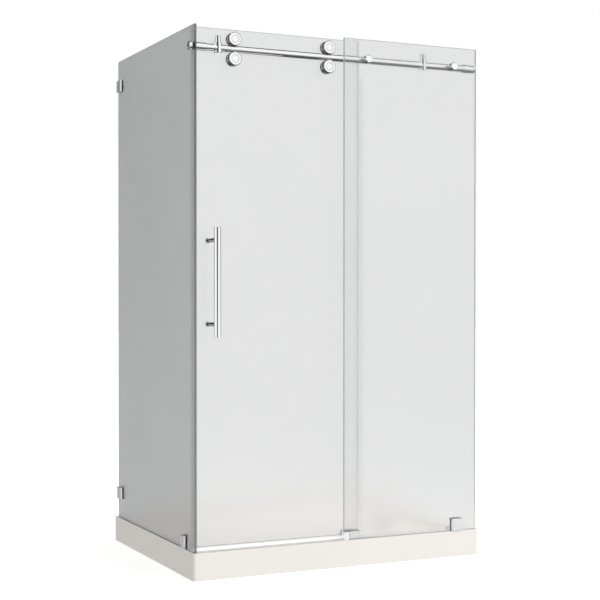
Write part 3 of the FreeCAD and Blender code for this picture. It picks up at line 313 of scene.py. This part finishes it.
def dress_nodes():
    slots = {}
    for part in frame["record"]["subparts"]:
        slots.setdefault(part["material_slot"], []).append(part["node"])
    fittings = slots["chrome_fittings"]
    covers = [name for name in fittings if name.endswith("clamp_cover")]
    wheels = [name for name in fittings if name.startswith("roller_wheel")]

    assign(acrylic(), slots["white_acrylic"])
    assign(plastic("moulded_support", SUPPORT_COLOUR, (0.45, 0.62)), slots["moulded_support"])
    assign(plastic("black_rubber", RUBBER_COLOUR, (0.6, 0.85)), slots["rubber_gaskets"])
    assign(clear_vinyl(), slots["clear_seals"])
    assign(powder_coat_with_painted_glow(), slots["threshold_profile"])

    front_glass = frosted_glass("frosted_glass_front", "Y", FRONT_GLASS_TONES, FRONT_GLASS_EDGE,
                                roughness=(0.2, 0.34), refraction=1.45)
    # the side panel: the same glass, its darker tones painted shade for the weaker light from the
    # left, with rougher grain and weaker refraction
    side_glass_painted_shade = frosted_glass("frosted_glass_side_painted_shade", "X", SIDE_GLASS_PAINTED_SHADE_TONES, SIDE_GLASS_EDGE,
                               roughness=(0.42, 0.6), refraction=1.15)
    assign(front_glass, FRONT_PANELS)
    assign(side_glass_painted_shade, SIDE_PANELS)

    assign(metal("steel", 0.62, stretch=(400, 400, 30)), slots["steel_screws"])
    assign(metal("polished_chrome"), fittings)
    # fittings with a look of their own
    satin = metal("satin_chrome", 0.93, stretch=(260, 260, 20), metallic=0.75)
    assign(satin, ["drain_strainer"] + covers)
    assign(metal("cast_chrome", 0.95, metallic=0.72), ["door_guide"])
    assign(wheel_chrome(), wheels)


def keep_glass_out_of_reflections():
    """The panels would darken what the chrome in front of them mirrors."""
    for name in FRONT_PANELS + SIDE_PANELS:
        nodes[name].visible_glossy = False


# --- surroundings ---

FLOOR_REACH = 30

# what metal mirrors; places are coordinates of a direction of length 1
REAR_BORDER = -0.1          # Y, on the right
REAR_BORDER_SHIFT = 0.75    # how much further back it is on the left
BAND_HEIGHT = -0.17         # Z
GLOW_TOP = 0.1              # Z
FLAG_BEARING = -0.42        # sine of the angle from straight in front, negative to the left
DEEPEST_DARK = 0.02


def add_floor():
    """A pale floor that only the camera sees."""
    mesh = bpy.data.meshes.new("floor")
    corners = [(-1, -1), (1, -1), (1, 1), (-1, 1)]
    places = [(x * FLOOR_REACH, y * FLOOR_REACH, 0) for x, y in corners]
    mesh.from_pydata(places, [], [(0, 1, 2, 3)])
    floor = bpy.data.objects.new("floor", mesh)
    bpy.context.scene.collection.objects.link(floor)
    material, tree, shader = new_material("pale_floor")
    feed_all(tree, shader, {
        "Base Color": wander(tree, noise(tree, scale=3), FLOOR_TONES),
        "Roughness": 0.9,
        "Specular IOR Level": 0.1,
        "Emission Color": WHITE,
        "Emission Strength": 0.5,
    })
    mesh.materials.append(material)
    floor.visible_glossy = False
    floor.visible_transmission = False
    floor.visible_diffuse = False


def soft_light(tree, across, z):
    """What rough surfaces get: least from the left, most from the right, less from overhead."""
    sideways = ramp(tree, across, [(0.0, 0.585), (0.5, 1.15), (1.0, 1.3)])
    upwards = ramp(tree, z, [(0.4, 1.0), (0.8, 0.55)])
    return maths(tree, "MULTIPLY", sideways, upwards)


def metal_light(tree, across, x, y, z, down):
    """What metal mirrors: a bright front, with the dark parts that give chrome its contrast."""
    # dark behind, from a border that is further back on the left
    shift = ramp(tree, across, [(0.35, REAR_BORDER_SHIFT), (0.55, 0.0)])
    border = maths(tree, "ADD", shift, REAR_BORDER)
    past_border = maths(tree, "SUBTRACT", y, border)
    bright = ramp(tree, past_border, [(0.0, 1.0), (0.08, 0.0)])

    # but for a bright band just below the horizon on the right, and a glow from the horizon down
    from_band = maths(tree, "ABSOLUTE", maths(tree, "SUBTRACT", z, BAND_HEIGHT))
    band = ramp(tree, from_band, [(0.08, 1.0), (0.13, 0.0)])
    band = maths(tree, "MULTIPLY", band, ramp(tree, x, [(0.05, 0.0), (0.15, 1.0)]))
    under_glow_top = maths(tree, "ADD", down, GLOW_TOP)
    glow = ramp(tree, under_glow_top, [(0.0, 0.05), (0.15, 0.4)])
    for light in (band, glow):
        bright = maths(tree, "MAXIMUM", bright, light)

    # one dark upright flag in front on the left, which widens upwards
    squares = maths(tree, "ADD", maths(tree, "MULTIPLY", x, x), maths(tree, "MULTIPLY", y, y))
    bearing = maths(tree, "DIVIDE", x, maths(tree, "SQRT", squares))
    from_flag = maths(tree, "ABSOLUTE", maths(tree, "SUBTRACT", bearing, FLAG_BEARING))
    from_flag = maths(tree, "SUBTRACT", from_flag, z)
    flag = ramp(tree, from_flag, [(0.24, 0.08), (0.34, 1.0)])

    # it isn't there behind, and ends a little above the horizon
    behind = ramp(tree, y, [(0.0, 0.0), (0.1, 1.0)])
    above = ramp(tree, z, [(0.2, 0.0), (0.3, 1.0)])
    for light in (behind, above):
        flag = maths(tree, "MAXIMUM", flag, light)

    # dim straight below
    below = ramp(tree, down, [(0.15, 1.0), (0.45, 0.36), (0.75, 0.1)])
    light = maths(tree, "MULTIPLY", maths(tree, "MULTIPLY", bright, below), flag)
    return maths(tree, "MAXIMUM", light, DEEPEST_DARK)


def add_world():
    """A studio that differs for rough surfaces, metal and glass, and is white to the camera."""
    world = bpy.data.worlds.new("studio")
    bpy.context.scene.world = world
    world.use_nodes = True
    tree = world.node_tree
    tree.nodes.clear()
    output = tree.nodes.new("ShaderNodeOutputWorld")
    place = tree.nodes.new("ShaderNodeTexCoord")
    split = tree.nodes.new("ShaderNodeSeparateXYZ")
    tree.links.new(place.outputs["Generated"], split.inputs["Vector"])
    x, y, z = split.outputs
    across = maths(tree, "MULTIPLY_ADD", x, 0.5, 0.5)
    down = maths(tree, "MULTIPLY", z, -1.0)

    # each kind of ray has its own look, and a later kind outdoes an earlier one
    looks = (
        (None, soft_light(tree, across, z), 1.0),
        ("Is Glossy Ray", metal_light(tree, across, x, y, z, down), 1.05),
        ("Is Transmission Ray", ramp(tree, down, [(0.15, 0.815), (0.2, 0.96)]), 1.0),
        ("Is Camera Ray", WHITE, 1.0),
    )
    path = tree.nodes.new("ShaderNodeLightPath")
    seen = None
    for ray, colour, strength in looks:
        background = tree.nodes.new("ShaderNodeBackground")
        feed_all(tree, background, {"Color": colour, "Strength": strength})
        look = background.outputs["Background"]
        if ray is None:
            seen = look
            continue
        mixed = tree.nodes.new("ShaderNodeMixShader")
        for socket, source in zip(mixed.inputs, (path.outputs[ray], seen, look)):
            tree.links.new(source, socket)
        seen = mixed.outputs["Shader"]
    tree.links.new(seen, output.inputs["Surface"])


def add_lamp(name, place, aim, size, power, colour=(1, 1, 1)):
    """A soft rectangular lamp that metal and glass don't show."""
    data = bpy.data.lights.new(name, "AREA")
    data.shape = "RECTANGLE"
    data.size, data.size_y = size
    data.energy = power
    data.color = colour
    lamp = bpy.data.objects.new(name, data)
    bpy.context.scene.collection.objects.link(lamp)
    lamp.location = place
    facing = Vector(aim) - lamp.location
    lamp.rotation_euler = facing.to_track_quat("-Z", "Y").to_euler()
    lamp.visible_glossy = False
    lamp.visible_transmission = False


def add_lights():
    # in front on the right: a large one, and a low one for the tray's front
    add_lamp("key", place=(2.2, -4.0, 3.4), aim=(0, 0, 0.9), size=(3.0, 2.5), power=20)
    add_lamp("low", place=(1.3, -2.2, 0.4), aim=(0.4, -0.45, 0.05), size=(0.6, 0.5), power=1.9)
    # over the open top: a cool one that lights the tray behind the door
    add_lamp("top", place=(0.0, -0.22, 2.7), aim=(0.0, -0.22, 0), size=(1.1, 0.35), power=35.5,
             colour=(0.955, 0.965, 1.0))


def set_colours():
    view = bpy.context.scene.view_settings
    view.view_transform = "Standard"
    view.look = "None"


add_camera()
dress_nodes()
keep_glass_out_of_reflections()
add_floor()
add_world()
add_lights()
set_colours()
